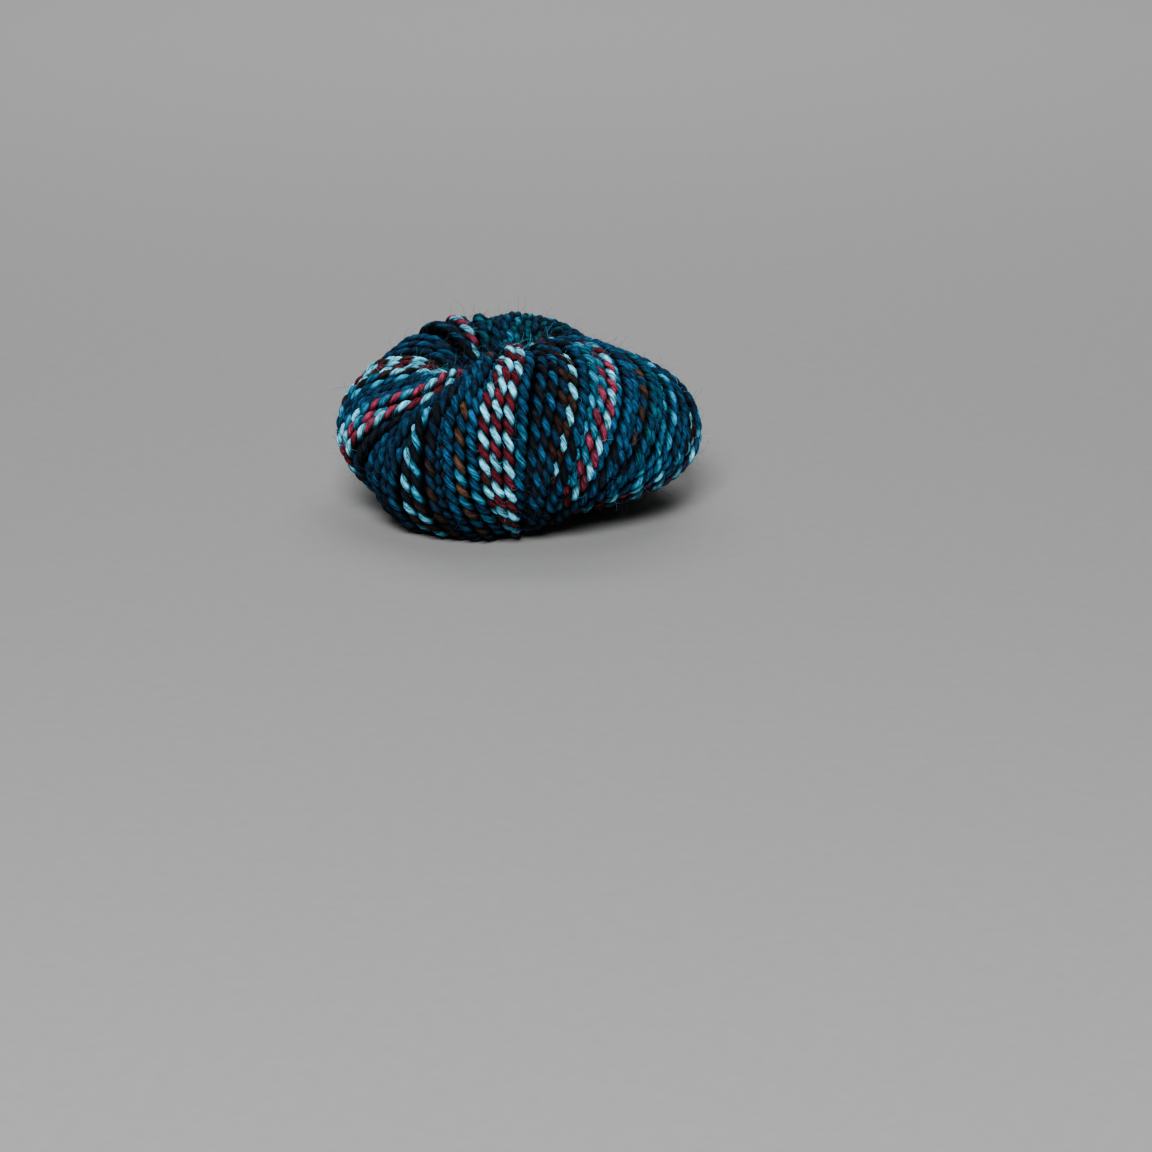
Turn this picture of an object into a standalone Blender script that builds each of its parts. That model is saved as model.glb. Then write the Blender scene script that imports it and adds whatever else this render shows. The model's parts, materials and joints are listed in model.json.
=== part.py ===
"""Yarn cake: a ball of thick plied yarn wound round and round into a low ring.

The wound form is one closed solid. Its skin is swept from upright sections
set round the winding hole, and it carries the main twists, which are the
bundles of turns that lie together and lean as they go down the side.
Metres, +Z up, resting on z = 0 with the middle of the box at x = y = 0.
"""

import math

import bpy
from mathutils import Vector

MM = 0.001

# Driving sizes
HALF_LENGTH = 45.0 * MM
HALF_DEPTH = 42.0 * MM
HOLE_SHIFT = -6.0 * MM
THROAT_RADIUS = 5.2 * MM
PRESS = 1.4 * MM

# Roundness of the section over and under its widest level
UPPER_POWER = 0.95
LOWER_POWER = 0.92
TUCK_SHARE = 0.8

# The mesh: rows go once round a section, steps go across one bundle
SECTION_ROWS = 30
BUNDLE_STEPS = 7

# Upright sections round the hole.
# azimuth: degrees from +X, counted towards +Y
# swell: added to the reach of the oval, mm
# crest: height of the top of the section, mm
# belly: level of the widest place, as a share of the crest
# lean: how far the crest sits towards the hole, as a share of the half width
# tuck: how far the underside draws in, as a share of the half width
# lift: height of the foot over the surface, mm
SECTION_COLUMNS = ("azimuth", "swell", "crest", "belly", "lean", "tuck", "lift")
SECTIONS = (
    (0.0, -0.5, 42.0, 0.46, 0.40, 0.00, 2.0),
    (25.0, 0.0, 39.0, 0.46, 0.36, 0.00, 0.0),
    (43.0, 0.5, 38.0, 0.46, 0.22, 0.00, 0.0),
    (60.0, 1.0, 42.2, 0.47, 0.10, 0.00, 0.0),
    (90.0, 1.0, 43.6, 0.48, 0.06, 0.00, 0.0),
    (120.0, 0.0, 43.6, 0.50, 0.10, 0.00, 0.0),
    (150.0, 0.0, 39.5, 0.52, 0.14, 0.05, 0.0),
    (180.0, 0.5, 37.0, 0.55, 0.12, 0.36, 0.0),
    (203.0, 0.5, 36.5, 0.48, 0.12, 0.30, 0.0),
    (228.0, 0.5, 37.5, 0.41, 0.12, -0.04, 0.0),
    (250.0, 0.5, 41.0, 0.42, 0.10, -0.05, 0.0),
    (275.0, 0.0, 45.0, 0.44, 0.12, 0.00, 0.5),
    (305.0, 0.0, 46.0, 0.44, 0.15, 0.00, 5.5),
    (335.0, -0.5, 45.2, 0.44, 0.30, 0.00, 4.2),
)

# Bundles of turns that lie together, in order round the hole.
# start: azimuth where the bundle begins in the hole, degrees
# at_75 to under_75: how far its turns have moved round, degrees, at 75, 45
# and 15 degrees over the widest level and at the same angles under it
# groove: depth of the groove at its start, mm
# level: how far the bundle stands out from the form, mm
PATH_ANGLES = (-180.0, -75.0, -45.0, -15.0, 15.0, 45.0, 75.0, 115.0)
PATH_COLUMNS = ("under_75", "under_45", "under_15", "at_15", "at_45", "at_75")
BUNDLE_COLUMNS = (
    "start", "at_75", "at_45", "at_15", "under_15", "under_45", "under_75", "groove", "level",
)
BUNDLES = (
    (1.0, -8.0, -29.0, -44.0, -54.0, -61.0, -61.5, 0.9, 0.0),
    (16.0, -10.0, -31.0, -50.0, -63.0, -72.5, -73.5, 1.0, 0.2),
    (40.0, -13.0, -35.0, -51.5, -62.0, -87.0, -94.0, 1.1, -0.2),
    (58.0, -10.0, -30.0, -50.0, -63.0, -83.0, -98.0, 1.3, 0.1),
    (74.0, -7.0, -24.0, -41.0, -53.0, -70.0, -84.0, 0.9, 0.2),
    (90.0, -5.0, -18.0, -32.0, -43.0, -57.0, -67.0, 1.0, 0.0),
    (106.0, -3.0, -12.0, -23.0, -32.0, -42.0, -49.0, 0.9, 0.3),
    (122.0, -2.0, -8.0, -16.0, -22.0, -29.0, -33.0, 1.1, 0.0),
    (138.0, -1.0, -5.0, -9.0, -12.0, -15.0, -16.0, 0.8, 0.1),
    (156.0, -2.0, -5.0, -7.0, -8.0, -8.0, -8.0, 1.0, 0.3),
    (175.0, -5.0, -8.0, -10.0, -11.0, -10.0, -8.0, 0.9, 0.0),
    (193.0, -8.0, -12.0, -15.5, -17.0, -16.0, -14.0, 1.0, 0.2),
    (214.0, -10.0, -22.0, -29.5, -32.0, -31.0, -28.0, 1.1, 0.0),
    (236.0, -5.0, -32.0, -44.5, -47.5, -47.0, -44.0, 1.0, 0.2),
    (242.5, -1.0, -25.0, -40.0, -46.0, -47.0, -44.0, 1.3, 0.4),
    (249.0, 0.0, -18.0, -33.0, -41.0, -43.0, -41.0, 1.7, -1.0),
    (256.0, -1.5, -17.0, -18.0, -17.0, -14.0, -10.0, 1.9, 0.2),
    (260.0, -2.0, -8.5, -9.0, -7.5, -4.0, 0.0, 0.9, 0.1),
    (274.0, -3.5, -9.5, -10.0, -7.5, -2.0, 2.0, 1.0, 0.4),
    (289.0, -4.5, -11.0, -13.0, -12.5, -11.0, -9.0, 1.1, 0.1),
    (300.0, -4.0, -11.0, -16.0, -18.5, -17.8, -16.2, 0.9, -0.3),
    (312.0, -3.0, -10.5, -18.0, -23.5, -24.5, -24.5, 0.9, 0.1),
    (324.0, -3.5, -14.5, -25.0, -31.0, -33.5, -33.0, 0.8, 0.2),
    (336.0, -5.0, -18.5, -30.0, -37.5, -42.5, -42.0, 0.8, 0.1),
    (348.0, -6.0, -23.0, -35.5, -44.0, -51.0, -51.5, 1.0, 0.2),
)


def column(rows, names, name):
    """One named column of a table."""
    place = names.index(name)
    return [row[place] for row in rows]


def round_curve(angles, values, angle):
    """Smooth value at an angle from a table that closes on itself, degrees."""
    count = len(angles)
    angle = (angle - angles[0]) % 360.0 + angles[0]
    here = max(i for i in range(count) if angles[i] <= angle + 1e-9)

    def knot(i):
        return angles[i % count] + 360.0 * (i // count)

    def value(i):
        return values[i % count]

    width = knot(here + 1) - knot(here)
    t = (angle - knot(here)) / width
    rise_in = (value(here + 1) - value(here - 1)) / (knot(here + 1) - knot(here - 1)) * width
    rise_out = (value(here + 2) - value(here)) / (knot(here + 2) - knot(here)) * width
    return (
        (2 * t ** 3 - 3 * t ** 2 + 1) * value(here)
        + (t ** 3 - 2 * t ** 2 + t) * rise_in
        + (-2 * t ** 3 + 3 * t ** 2) * value(here + 1)
        + (t ** 3 - t ** 2) * rise_out
    )


def section_value(name, azimuth):
    """Smooth value of one section column at an azimuth."""
    return round_curve(
        column(SECTIONS, SECTION_COLUMNS, "azimuth"),
        column(SECTIONS, SECTION_COLUMNS, name),
        azimuth,
    )


def oval_reach(azimuth):
    """Distance from the hole's axis to the oval outline."""
    along = math.cos(math.radians(azimuth))
    across = math.sin(math.radians(azimuth))
    a = (along / HALF_LENGTH) ** 2 + (across / HALF_DEPTH) ** 2
    b = 2.0 * HOLE_SHIFT * along / HALF_LENGTH ** 2
    c = (HOLE_SHIFT / HALF_LENGTH) ** 2 - 1.0
    return (-b + math.sqrt(b * b - 4.0 * a * c)) / (2.0 * a)


def ease(t):
    """Smooth step from 0 to 1."""
    t = min(1.0, max(0.0, t))
    return t * t * (3.0 - 2.0 * t)


def path_offset(moves, turn):
    """How far a turn has moved round at an angle round the section.

    The angle is 0 at the widest place, a quarter turn at the crest and half
    a turn in the hole, where all turns are back at their start.
    """
    return round_curve(PATH_ANGLES, [0.0, *moves, 0.0], math.degrees(turn))


def relief_share(turn):
    """How much of the bundles shows: all outside, little in the hole or below."""
    in_hole = ease((0.35 - math.cos(turn)) / 1.35)
    below = ease(-math.sin(turn))
    return (1.0 - 0.85 * in_hole) * (1.0 - 0.7 * below)


def skin_point(azimuth, turn, outward):
    """Point of the wound form, moved outwards by a small amount."""
    swell = section_value("swell", azimuth) * MM
    crest = section_value("crest", azimuth) * MM
    belly = section_value("belly", azimuth)
    lean = section_value("lean", azimuth)
    tuck = section_value("tuck", azimuth)
    lift = section_value("lift", azimuth) * MM
    outer = oval_reach(azimuth) + swell
    middle = (outer + THROAT_RADIUS) / 2.0
    half = (outer - THROAT_RADIUS) / 2.0
    widest = belly * crest
    side = math.cos(turn)
    rise = math.sin(turn)
    radius = middle + half * side - lean * half * rise * rise
    if rise >= 0.0:
        height = widest + (crest - widest) * rise ** UPPER_POWER
    else:
        radius -= tuck * half * -rise * (1.0 + side) * TUCK_SHARE
        height = widest - (widest + PRESS - lift) * (-rise) ** LOWER_POWER
    radius += outward * side
    height = max(0.0, height + outward * rise)
    return Vector((
        HOLE_SHIFT + radius * math.cos(math.radians(azimuth)),
        radius * math.sin(math.radians(azimuth)),
        height,
    ))


def bundle_lanes():
    """Lanes across all bundles, as (azimuth in the hole, moves, outward)."""
    starts = column(BUNDLES, BUNDLE_COLUMNS, "start")
    grooves = column(BUNDLES, BUNDLE_COLUMNS, "groove")
    levels = column(BUNDLES, BUNDLE_COLUMNS, "level")
    paths = list(zip(*(column(BUNDLES, BUNDLE_COLUMNS, name) for name in PATH_COLUMNS)))
    count = len(BUNDLES)
    lanes = []
    for i in range(count):
        after = (i + 1) % count
        end = starts[after] + (360.0 if after == 0 else 0.0)
        for step in range(BUNDLE_STEPS):
            t = step / BUNDLE_STEPS
            azimuth = starts[i] + (end - starts[i]) * t
            moves = [a + (b - a) * t for a, b in zip(paths[i], paths[after])]
            groove = grooves[i] * (1.0 - t) + grooves[after] * t
            edge_level = levels[i - 1] if t < 0.5 else levels[after]
            near = 0.5 * abs(1.0 - 2.0 * t) ** 3
            level = levels[i] * (1.0 - near) + edge_level * near
            outward = (level - groove * abs(1.0 - 2.0 * t) ** 2.2) * MM
            lanes.append((azimuth, moves, outward))
    return lanes


def build_yarn_cake():
    """The wound form with its main bundles as one closed mesh."""
    lanes = bundle_lanes()
    vertices = []
    for azimuth, moves, outward in lanes:
        for row in range(SECTION_ROWS):
            turn = math.pi - 2.0 * math.pi * row / SECTION_ROWS
            place = azimuth + path_offset(moves, turn)
            vertices.append(skin_point(place, turn, outward * relief_share(turn)))
    faces = []
    count = len(lanes)
    for i in range(count):
        after = (i + 1) % count
        for row in range(SECTION_ROWS):
            below = (row + 1) % SECTION_ROWS
            faces.append((
                i * SECTION_ROWS + row,
                i * SECTION_ROWS + below,
                after * SECTION_ROWS + below,
                after * SECTION_ROWS + row,
            ))
    centre = box_centre(vertices)
    mesh = bpy.data.meshes.new("yarn_cake")
    mesh.from_pydata([v - centre for v in vertices], [], faces)
    mesh.update()
    part = bpy.data.objects.new("yarn_cake", mesh)
    bpy.context.scene.collection.objects.link(part)
    return part


def box_centre(vertices):
    """Middle of the outline on the surface the cake rests on."""
    xs = [v.x for v in vertices]
    ys = [v.y for v in vertices]
    return Vector(((min(xs) + max(xs)) / 2.0, (min(ys) + max(ys)) / 2.0, 0.0))


def wool_material():
    """Deep teal dyed wool."""
    material = bpy.data.materials.new("dyed_wool")
    material.use_nodes = True
    shader = material.node_tree.nodes["Principled BSDF"]
    shader.inputs["Base Color"].default_value = (0.02, 0.10, 0.20, 1.0)
    shader.inputs["Roughness"].default_value = 0.9
    return material


def main():
    for item in list(bpy.data.objects):
        bpy.data.objects.remove(item, do_unlink=True)
    part = build_yarn_cake()
    part.data.materials.append(wool_material())


main()
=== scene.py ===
import json
import math

import bpy
import numpy as np
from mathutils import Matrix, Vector

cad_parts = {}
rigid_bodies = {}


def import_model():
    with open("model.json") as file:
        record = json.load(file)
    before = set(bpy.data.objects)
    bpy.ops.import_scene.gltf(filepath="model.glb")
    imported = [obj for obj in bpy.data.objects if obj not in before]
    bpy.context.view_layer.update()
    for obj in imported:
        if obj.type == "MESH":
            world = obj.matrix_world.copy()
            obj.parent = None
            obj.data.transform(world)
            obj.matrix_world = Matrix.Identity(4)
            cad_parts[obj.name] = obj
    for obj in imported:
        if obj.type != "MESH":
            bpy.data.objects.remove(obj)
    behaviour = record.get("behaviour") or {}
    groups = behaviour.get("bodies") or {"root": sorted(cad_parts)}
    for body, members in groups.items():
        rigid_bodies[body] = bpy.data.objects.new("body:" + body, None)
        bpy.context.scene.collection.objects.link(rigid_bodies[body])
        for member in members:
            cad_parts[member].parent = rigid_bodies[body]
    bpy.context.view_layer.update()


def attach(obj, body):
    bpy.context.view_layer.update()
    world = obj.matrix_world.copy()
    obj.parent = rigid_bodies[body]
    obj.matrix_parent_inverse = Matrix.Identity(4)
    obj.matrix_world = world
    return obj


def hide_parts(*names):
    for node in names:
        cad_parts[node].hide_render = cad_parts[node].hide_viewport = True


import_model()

bl_info = {
    "name": "Yarn Cake",
    "version": (1, 0, 0),
    "blender": (4, 5, 0),
    "location": "View3D > Sidebar > Yarn Cake",
    "description": "Dresses the wound form of a yarn cake with its turns, core, fuzz and studio",
    "category": "Object",
}

MM = 0.001

# The wound form, with the same sizes as the solid under it
HALF_LENGTH = 45.0 * MM
HALF_DEPTH = 42.0 * MM
HOLE_SHIFT = -6.0 * MM
THROAT_RADIUS = 5.2 * MM
PRESS = 1.4 * MM
UPPER_POWER = 0.95
LOWER_POWER = 0.92
TUCK_SHARE = 0.8
SECTION_ROWS = 30
BUNDLE_STEPS = 7
HOLE_HEIGHT = 40.0 * MM

# How sharp the grooves are, and how much of the bundles is lost in the throat and below
GROOVE_POWER = 2.2
THROAT_CALM = 0.85
UNDER_CALM = 0.7

# Upright sections round the hole: degrees, then mm and shares of the section
SECTION_COLUMNS = ("azimuth", "swell", "crest", "belly", "lean", "tuck", "lift")
SECTIONS = (
    (0.0, -0.5, 42.0, 0.46, 0.40, 0.00, 2.0),
    (25.0, 0.0, 39.0, 0.46, 0.36, 0.00, 0.0),
    (43.0, 0.5, 38.0, 0.46, 0.22, 0.00, 0.0),
    (60.0, 1.0, 42.2, 0.47, 0.10, 0.00, 0.0),
    (90.0, 1.0, 43.6, 0.48, 0.06, 0.00, 0.0),
    (120.0, 0.0, 43.6, 0.50, 0.10, 0.00, 0.0),
    (150.0, 0.0, 39.5, 0.52, 0.14, 0.05, 0.0),
    (180.0, 0.5, 37.0, 0.55, 0.12, 0.36, 0.0),
    (203.0, 0.5, 36.5, 0.48, 0.12, 0.30, 0.0),
    (228.0, 0.5, 37.5, 0.41, 0.12, -0.04, 0.0),
    (250.0, 0.5, 41.0, 0.42, 0.10, -0.05, 0.0),
    (275.0, 0.0, 45.0, 0.44, 0.12, 0.00, 0.5),
    (305.0, 0.0, 46.0, 0.44, 0.15, 0.00, 5.5),
    (335.0, -0.5, 45.2, 0.44, 0.30, 0.00, 4.2),
)

# Bundles of turns: start in the hole, then how far they have moved round at
# angles over and under the widest level, in degrees, groove and level in mm
PATH_ANGLES = (-180.0, -75.0, -45.0, -15.0, 15.0, 45.0, 75.0, 115.0)
PATH_COLUMNS = ("under_75", "under_45", "under_15", "at_15", "at_45", "at_75")
BUNDLE_COLUMNS = (
    "start", "at_75", "at_45", "at_15", "under_15", "under_45", "under_75", "groove", "level",
)
BUNDLES = (
    (1.0, -8.0, -29.0, -44.0, -54.0, -61.0, -61.5, 0.9, 0.0),
    (16.0, -10.0, -31.0, -50.0, -63.0, -72.5, -73.5, 1.0, 0.2),
    (40.0, -13.0, -35.0, -51.5, -62.0, -87.0, -94.0, 1.1, -0.2),
    (58.0, -10.0, -30.0, -50.0, -63.0, -83.0, -98.0, 1.3, 0.1),
    (74.0, -7.0, -24.0, -41.0, -53.0, -70.0, -84.0, 0.9, 0.2),
    (90.0, -5.0, -18.0, -32.0, -43.0, -57.0, -67.0, 1.0, 0.0),
    (106.0, -3.0, -12.0, -23.0, -32.0, -42.0, -49.0, 0.9, 0.3),
    (122.0, -2.0, -8.0, -16.0, -22.0, -29.0, -33.0, 1.1, 0.0),
    (138.0, -1.0, -5.0, -9.0, -12.0, -15.0, -16.0, 0.8, 0.1),
    (156.0, -2.0, -5.0, -7.0, -8.0, -8.0, -8.0, 1.0, 0.3),
    (175.0, -5.0, -8.0, -10.0, -11.0, -10.0, -8.0, 0.9, 0.0),
    (193.0, -8.0, -12.0, -15.5, -17.0, -16.0, -14.0, 1.0, 0.2),
    (214.0, -10.0, -22.0, -29.5, -32.0, -31.0, -28.0, 1.1, 0.0),
    (236.0, -5.0, -32.0, -44.5, -47.5, -47.0, -44.0, 1.0, 0.2),
    (242.5, -1.0, -25.0, -40.0, -46.0, -47.0, -44.0, 1.3, 0.4),
    (249.0, 0.0, -18.0, -33.0, -41.0, -43.0, -41.0, 1.7, -1.0),
    (256.0, -1.5, -17.0, -18.0, -17.0, -14.0, -10.0, 1.9, 0.2),
    (260.0, -2.0, -8.5, -9.0, -7.5, -4.0, 0.0, 0.9, 0.1),
    (274.0, -3.5, -9.5, -10.0, -7.5, -2.0, 2.0, 1.0, 0.4),
    (289.0, -4.5, -11.0, -13.0, -12.5, -11.0, -9.0, 1.1, 0.1),
    (300.0, -4.0, -11.0, -16.0, -18.5, -17.8, -16.2, 0.9, -0.3),
    (312.0, -3.0, -10.5, -18.0, -23.5, -24.5, -24.5, 0.9, 0.1),
    (324.0, -3.5, -14.5, -25.0, -31.0, -33.5, -33.0, 0.8, 0.2),
    (336.0, -5.0, -18.5, -30.0, -37.5, -42.5, -42.0, 0.8, 0.1),
    (348.0, -6.0, -23.0, -35.5, -44.0, -51.0, -51.5, 1.0, 0.2),
)

# Dye runs round the hole, from the photograph: azimuth where the run begins,
# then the two plies' dyes over the widest level and the two under it
DYE_COLUMNS = ("azimuth", "first_top", "second_top", "first_foot", "second_foot")
DYES = (
    (0.0, "rust", "blue", "navy", "deep"),
    (6.0, "deep", "teal", "deep", "blue"),
    (19.0, "turquoise", "blue", "turquoise", "deep"),
    (25.5, "deep", "navy", "deep", "blue"),
    (30.0, "deep", "navy", "ice", "crimson"),
    (36.5, "brown", "ice", "ice", "crimson"),
    (43.0, "navy", "blue", "ice", "maroon"),
    (49.0, "maroon", "ice", "ice", "maroon"),
    (55.0, "deep", "teal", "ice", "deep"),
    (58.0, "teal", "deep", "deep", "navy"),
    (72.0, "navy", "teal", "deep", "navy"),
    (76.5, "turquoise", "teal", "turquoise", "deep"),
    (80.5, "navy", "deep", "deep", "navy"),
    (91.0, "teal", "deep", "deep", "navy"),
    (115.0, "crimson", "ice", "maroon", "ice"),
    (119.5, "navy", "teal", "navy", "deep"),
    (124.0, "deep", "black", "deep", "black"),
    (141.0, "blue", "navy", "blue", "deep"),
    (161.0, "ice", "brown", "ice", "brown"),
    (175.0, "ice", "maroon", "ice", "maroon"),
    (194.0, "ice", "brown", "turquoise", "brown"),
    (203.0, "turquoise", "deep", "turquoise", "blue"),
    (214.0, "blue", "navy", "blue", "deep"),
    (225.0, "blue", "deep", "blue", "navy"),
    (236.0, "deep", "navy", "deep", "navy"),
    (238.2, "ice", "crimson", "ice", "crimson"),
    (246.5, "deep", "navy", "deep", "navy"),
    (254.5, "ice", "black", "ice", "brown"),
    (256.0, "turquoise", "black", "ice", "brown"),
    (258.0, "navy", "black", "deep", "brown"),
    (259.0, "deep", "navy", "navy", "deep"),
    (260.5, "blue", "deep", "blue", "navy"),
    (265.0, "blue", "rust", "blue", "rust"),
    (269.5, "blue", "deep", "turquoise", "deep"),
    (274.0, "ice", "maroon", "ice", "maroon"),
    (289.0, "deep", "blue", "deep", "navy"),
    (295.0, "black", "deep", "black", "deep"),
    (300.0, "black", "blue", "black", "blue"),
    (304.0, "brown", "navy", "brown", "navy"),
    (308.0, "ice", "brown", "ice", "brown"),
    (312.5, "blue", "deep", "blue", "deep"),
    (318.0, "teal", "turquoise", "teal", "blue"),
    (324.5, "turquoise", "crimson", "turquoise", "maroon"),
    (330.5, "ice", "crimson", "turquoise", "maroon"),
    (336.0, "blue", "blue", "blue", "deep"),
    (347.5, "deep", "blue", "deep", "blue"),
)


def hex_to_linear(code):
    """Linear colour with full alpha from an sRGB hex code."""
    channels = [int(code[i:i + 2], 16) / 255.0 for i in (1, 3, 5)]
    linear = [c / 12.92 if c <= 0.04045 else ((c + 0.055) / 1.055) ** 2.4 for c in channels]
    return tuple(linear) + (1.0,)


def column(rows, names, name):
    """One named column of a table as numbers."""
    place = names.index(name)
    return np.array([row[place] for row in rows], dtype=float)


def round_curve(angles, values, angle):
    """Smooth values at angles from a table that closes on itself, degrees."""
    angle = np.mod(angle - angles[0], 360.0) + angles[0]
    knots = np.concatenate([angles[-2:] - 360.0, angles, angles[:2] + 360.0])
    heights = np.concatenate([values[-2:], values, values[:2]])
    here = np.clip(np.searchsorted(knots, angle, side="right") - 1, 1, len(knots) - 3)
    width = knots[here + 1] - knots[here]
    t = (angle - knots[here]) / width
    rise_in = (heights[here + 1] - heights[here - 1]) / (knots[here + 1] - knots[here - 1]) * width
    rise_out = (heights[here + 2] - heights[here]) / (knots[here + 2] - knots[here]) * width
    return (
        (2 * t ** 3 - 3 * t ** 2 + 1) * heights[here]
        + (t ** 3 - 2 * t ** 2 + t) * rise_in
        + (-2 * t ** 3 + 3 * t ** 2) * heights[here + 1]
        + (t ** 3 - t ** 2) * rise_out
    )


def section_value(name, azimuth):
    """Smooth values of one section column."""
    return round_curve(
        column(SECTIONS, SECTION_COLUMNS, "azimuth"),
        column(SECTIONS, SECTION_COLUMNS, name),
        azimuth,
    )


def ease(t):
    """Smooth step from 0 to 1."""
    t = np.clip(t, 0.0, 1.0)
    return t * t * (3.0 - 2.0 * t)


def bundle_paths(turn):
    """How far every bundle has moved round at angles round the section."""
    moves = [column(BUNDLES, BUNDLE_COLUMNS, name) for name in PATH_COLUMNS]
    knots = np.array(PATH_ANGLES)
    return np.stack([
        round_curve(knots, np.array([0.0, *row, 0.0]), np.degrees(turn)) for row in zip(*moves)
    ])


def throat_share(turn):
    """How deep in the throat a place is, from 0 outside to 1."""
    return ease((0.35 - np.cos(turn)) / 1.35)


def relief_share(turn):
    """How much of the bundles shows: all outside, little in the hole or below."""
    return (1.0 - THROAT_CALM * throat_share(turn)) * (1.0 - UNDER_CALM * ease(-np.sin(turn)))


def skin_points(azimuth, turn, outward, floor=0.0):
    """Points of the wound form, moved outwards by small amounts."""
    azimuth, turn, outward = np.broadcast_arrays(azimuth, turn, outward)
    along = np.cos(np.radians(azimuth))
    across = np.sin(np.radians(azimuth))
    a = (along / HALF_LENGTH) ** 2 + (across / HALF_DEPTH) ** 2
    b = 2.0 * HOLE_SHIFT * along / HALF_LENGTH ** 2
    c = (HOLE_SHIFT / HALF_LENGTH) ** 2 - 1.0
    reach = (-b + np.sqrt(b * b - 4.0 * a * c)) / (2.0 * a)
    outer = reach + section_value("swell", azimuth) * MM
    crest = section_value("crest", azimuth) * MM
    half = (outer - THROAT_RADIUS) / 2.0
    widest = section_value("belly", azimuth) * crest
    side = np.cos(turn)
    rise = np.sin(turn)
    radius = (outer + THROAT_RADIUS) / 2.0 + half * side
    radius = radius - section_value("lean", azimuth) * half * rise * rise
    under = np.clip(-rise, 0.0, 1.0)
    over = np.clip(rise, 0.0, 1.0)
    radius = radius - section_value("tuck", azimuth) * half * under * (1.0 + side) * TUCK_SHARE
    height = widest + (crest - widest) * over ** UPPER_POWER
    lift = section_value("lift", azimuth) * MM
    height = height - (widest + PRESS - lift) * under ** LOWER_POWER
    radius = radius + outward * side
    height = np.maximum(floor, height + outward * rise)
    return np.stack([HOLE_SHIFT + radius * along, radius * across, height], axis=-1)


def bundle_spans():
    """Azimuths in the hole where the bundles start and where they end."""
    starts = column(BUNDLES, BUNDLE_COLUMNS, "start")
    return starts, np.append(starts[1:], starts[0] + 360.0)


def bundle_shares(azimuth):
    """Bundle before, bundle after and the share between them at azimuths in the hole."""
    starts, ends = bundle_spans()
    azimuth = np.mod(azimuth - starts[0], 360.0) + starts[0]
    here = np.clip(np.searchsorted(starts, azimuth, side="right") - 1, 0, len(BUNDLES) - 1)
    after = (here + 1) % len(BUNDLES)
    return here, after, (azimuth - starts[here]) / (ends[here] - starts[here])


def lane_places(azimuth, turn):
    """Azimuths reached and offsets of the form along lanes from the hole."""
    grooves = column(BUNDLES, BUNDLE_COLUMNS, "groove")
    levels = column(BUNDLES, BUNDLE_COLUMNS, "level")
    here, after, t = bundle_shares(azimuth)
    paths = bundle_paths(turn)
    place = azimuth[:, None] + paths[here] * (1.0 - t[:, None]) + paths[after] * t[:, None]
    groove = grooves[here] * (1.0 - t) + grooves[after] * t
    edge = np.where(t < 0.5, levels[here - 1], levels[after])
    near = 0.5 * np.abs(1.0 - 2.0 * t) ** 3
    level = levels[here] * (1.0 - near) + edge * near
    outward = (level - groove * np.abs(1.0 - 2.0 * t) ** GROOVE_POWER) * MM
    return place, outward[:, None] * relief_share(turn)[None, :]


def outline_centre():
    """Middle of the solid's outline, which the solid was moved to."""
    starts, ends = bundle_spans()
    steps = np.arange(BUNDLE_STEPS) / BUNDLE_STEPS
    lanes = (starts[:, None] + (ends - starts)[:, None] * steps[None, :]).ravel()
    turn = np.pi - 2.0 * np.pi * np.arange(SECTION_ROWS) / SECTION_ROWS
    place, lifted = lane_places(lanes, turn)
    points = skin_points(place, turn[None, :], lifted).reshape(-1, 3)
    middle = (points.min(axis=0) + points.max(axis=0)) / 2.0
    return np.array([middle[0], middle[1], 0.0])


CENTRE = outline_centre()


# Turns of yarn

# The turns lie side by side at this angle over the widest level, in degrees
COUNT_ANGLE = 20.0
COUNT_STEPS = 12

# A turn starts and ends this far past the innermost place in the hole, in radians
TURN_OVERLAP = 0.05

# How the turns lie: shares of their spacing or thickness, then sizes
TURN_SAMPLES = 260
AZIMUTH_STRAY = 0.12
SEAT_SHARE = 0.84
SINK_RANKS = (3, 2, 1)
SINK_BLEND = 17
HIDDEN_SHARE = 1.15
ROLL_WAVES = (2, 3, 5)
ROLL_SIZE = 0.10 * MM
LIFT_SIZE = 0.16 * MM
LOWEST_LIFT = -0.45 * MM
HIGHEST_LIFT = 0.3 * MM
WANDER_WAVES = (2, 3, 4, 7)
WANDER_SIZE = 0.16 * MM

# The low turns: how deep they lie and which part of the way round they go
UNDER_SAMPLES = 200
UNDER_SINK = 1.05
UNDER_START = 0.62 * np.pi
UNDER_END = -0.8 * np.pi


def turn_azimuths(spacing):
    """Azimuths of the turns in the hole, evenly spread inside each bundle."""
    starts, ends = bundle_spans()
    level = math.radians(COUNT_ANGLE)
    moves = bundle_paths(np.array([level]))[:, 0]
    azimuths = []
    for i, (start, end) in enumerate(zip(starts, ends)):
        reached = np.linspace(start + moves[i], end + moves[(i + 1) % len(starts)], COUNT_STEPS)
        sides = skin_points(reached, level, 0.0)
        width = np.linalg.norm(np.diff(sides, axis=0), axis=1).sum()
        count = max(2, int(round(width / spacing)))
        azimuths.extend(start + (end - start) * (j + 0.5) / count for j in range(count))
    return np.array(azimuths)


def sink_order(count, rng):
    """How long each turn stays on top towards the hole: 0 always, 3 least."""
    order = np.zeros(count, dtype=int)
    alive = list(range(count))
    for rank in SINK_RANKS:
        kept = []
        for pair in range(0, len(alive) - 1, 2):
            upper = int(rng.random() >= 0.5)
            kept.append(alive[pair + upper])
            order[alive[pair + 1 - upper]] = rank
        if len(alive) % 2:
            kept.append(alive[-1])
        alive = kept
    return order


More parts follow.
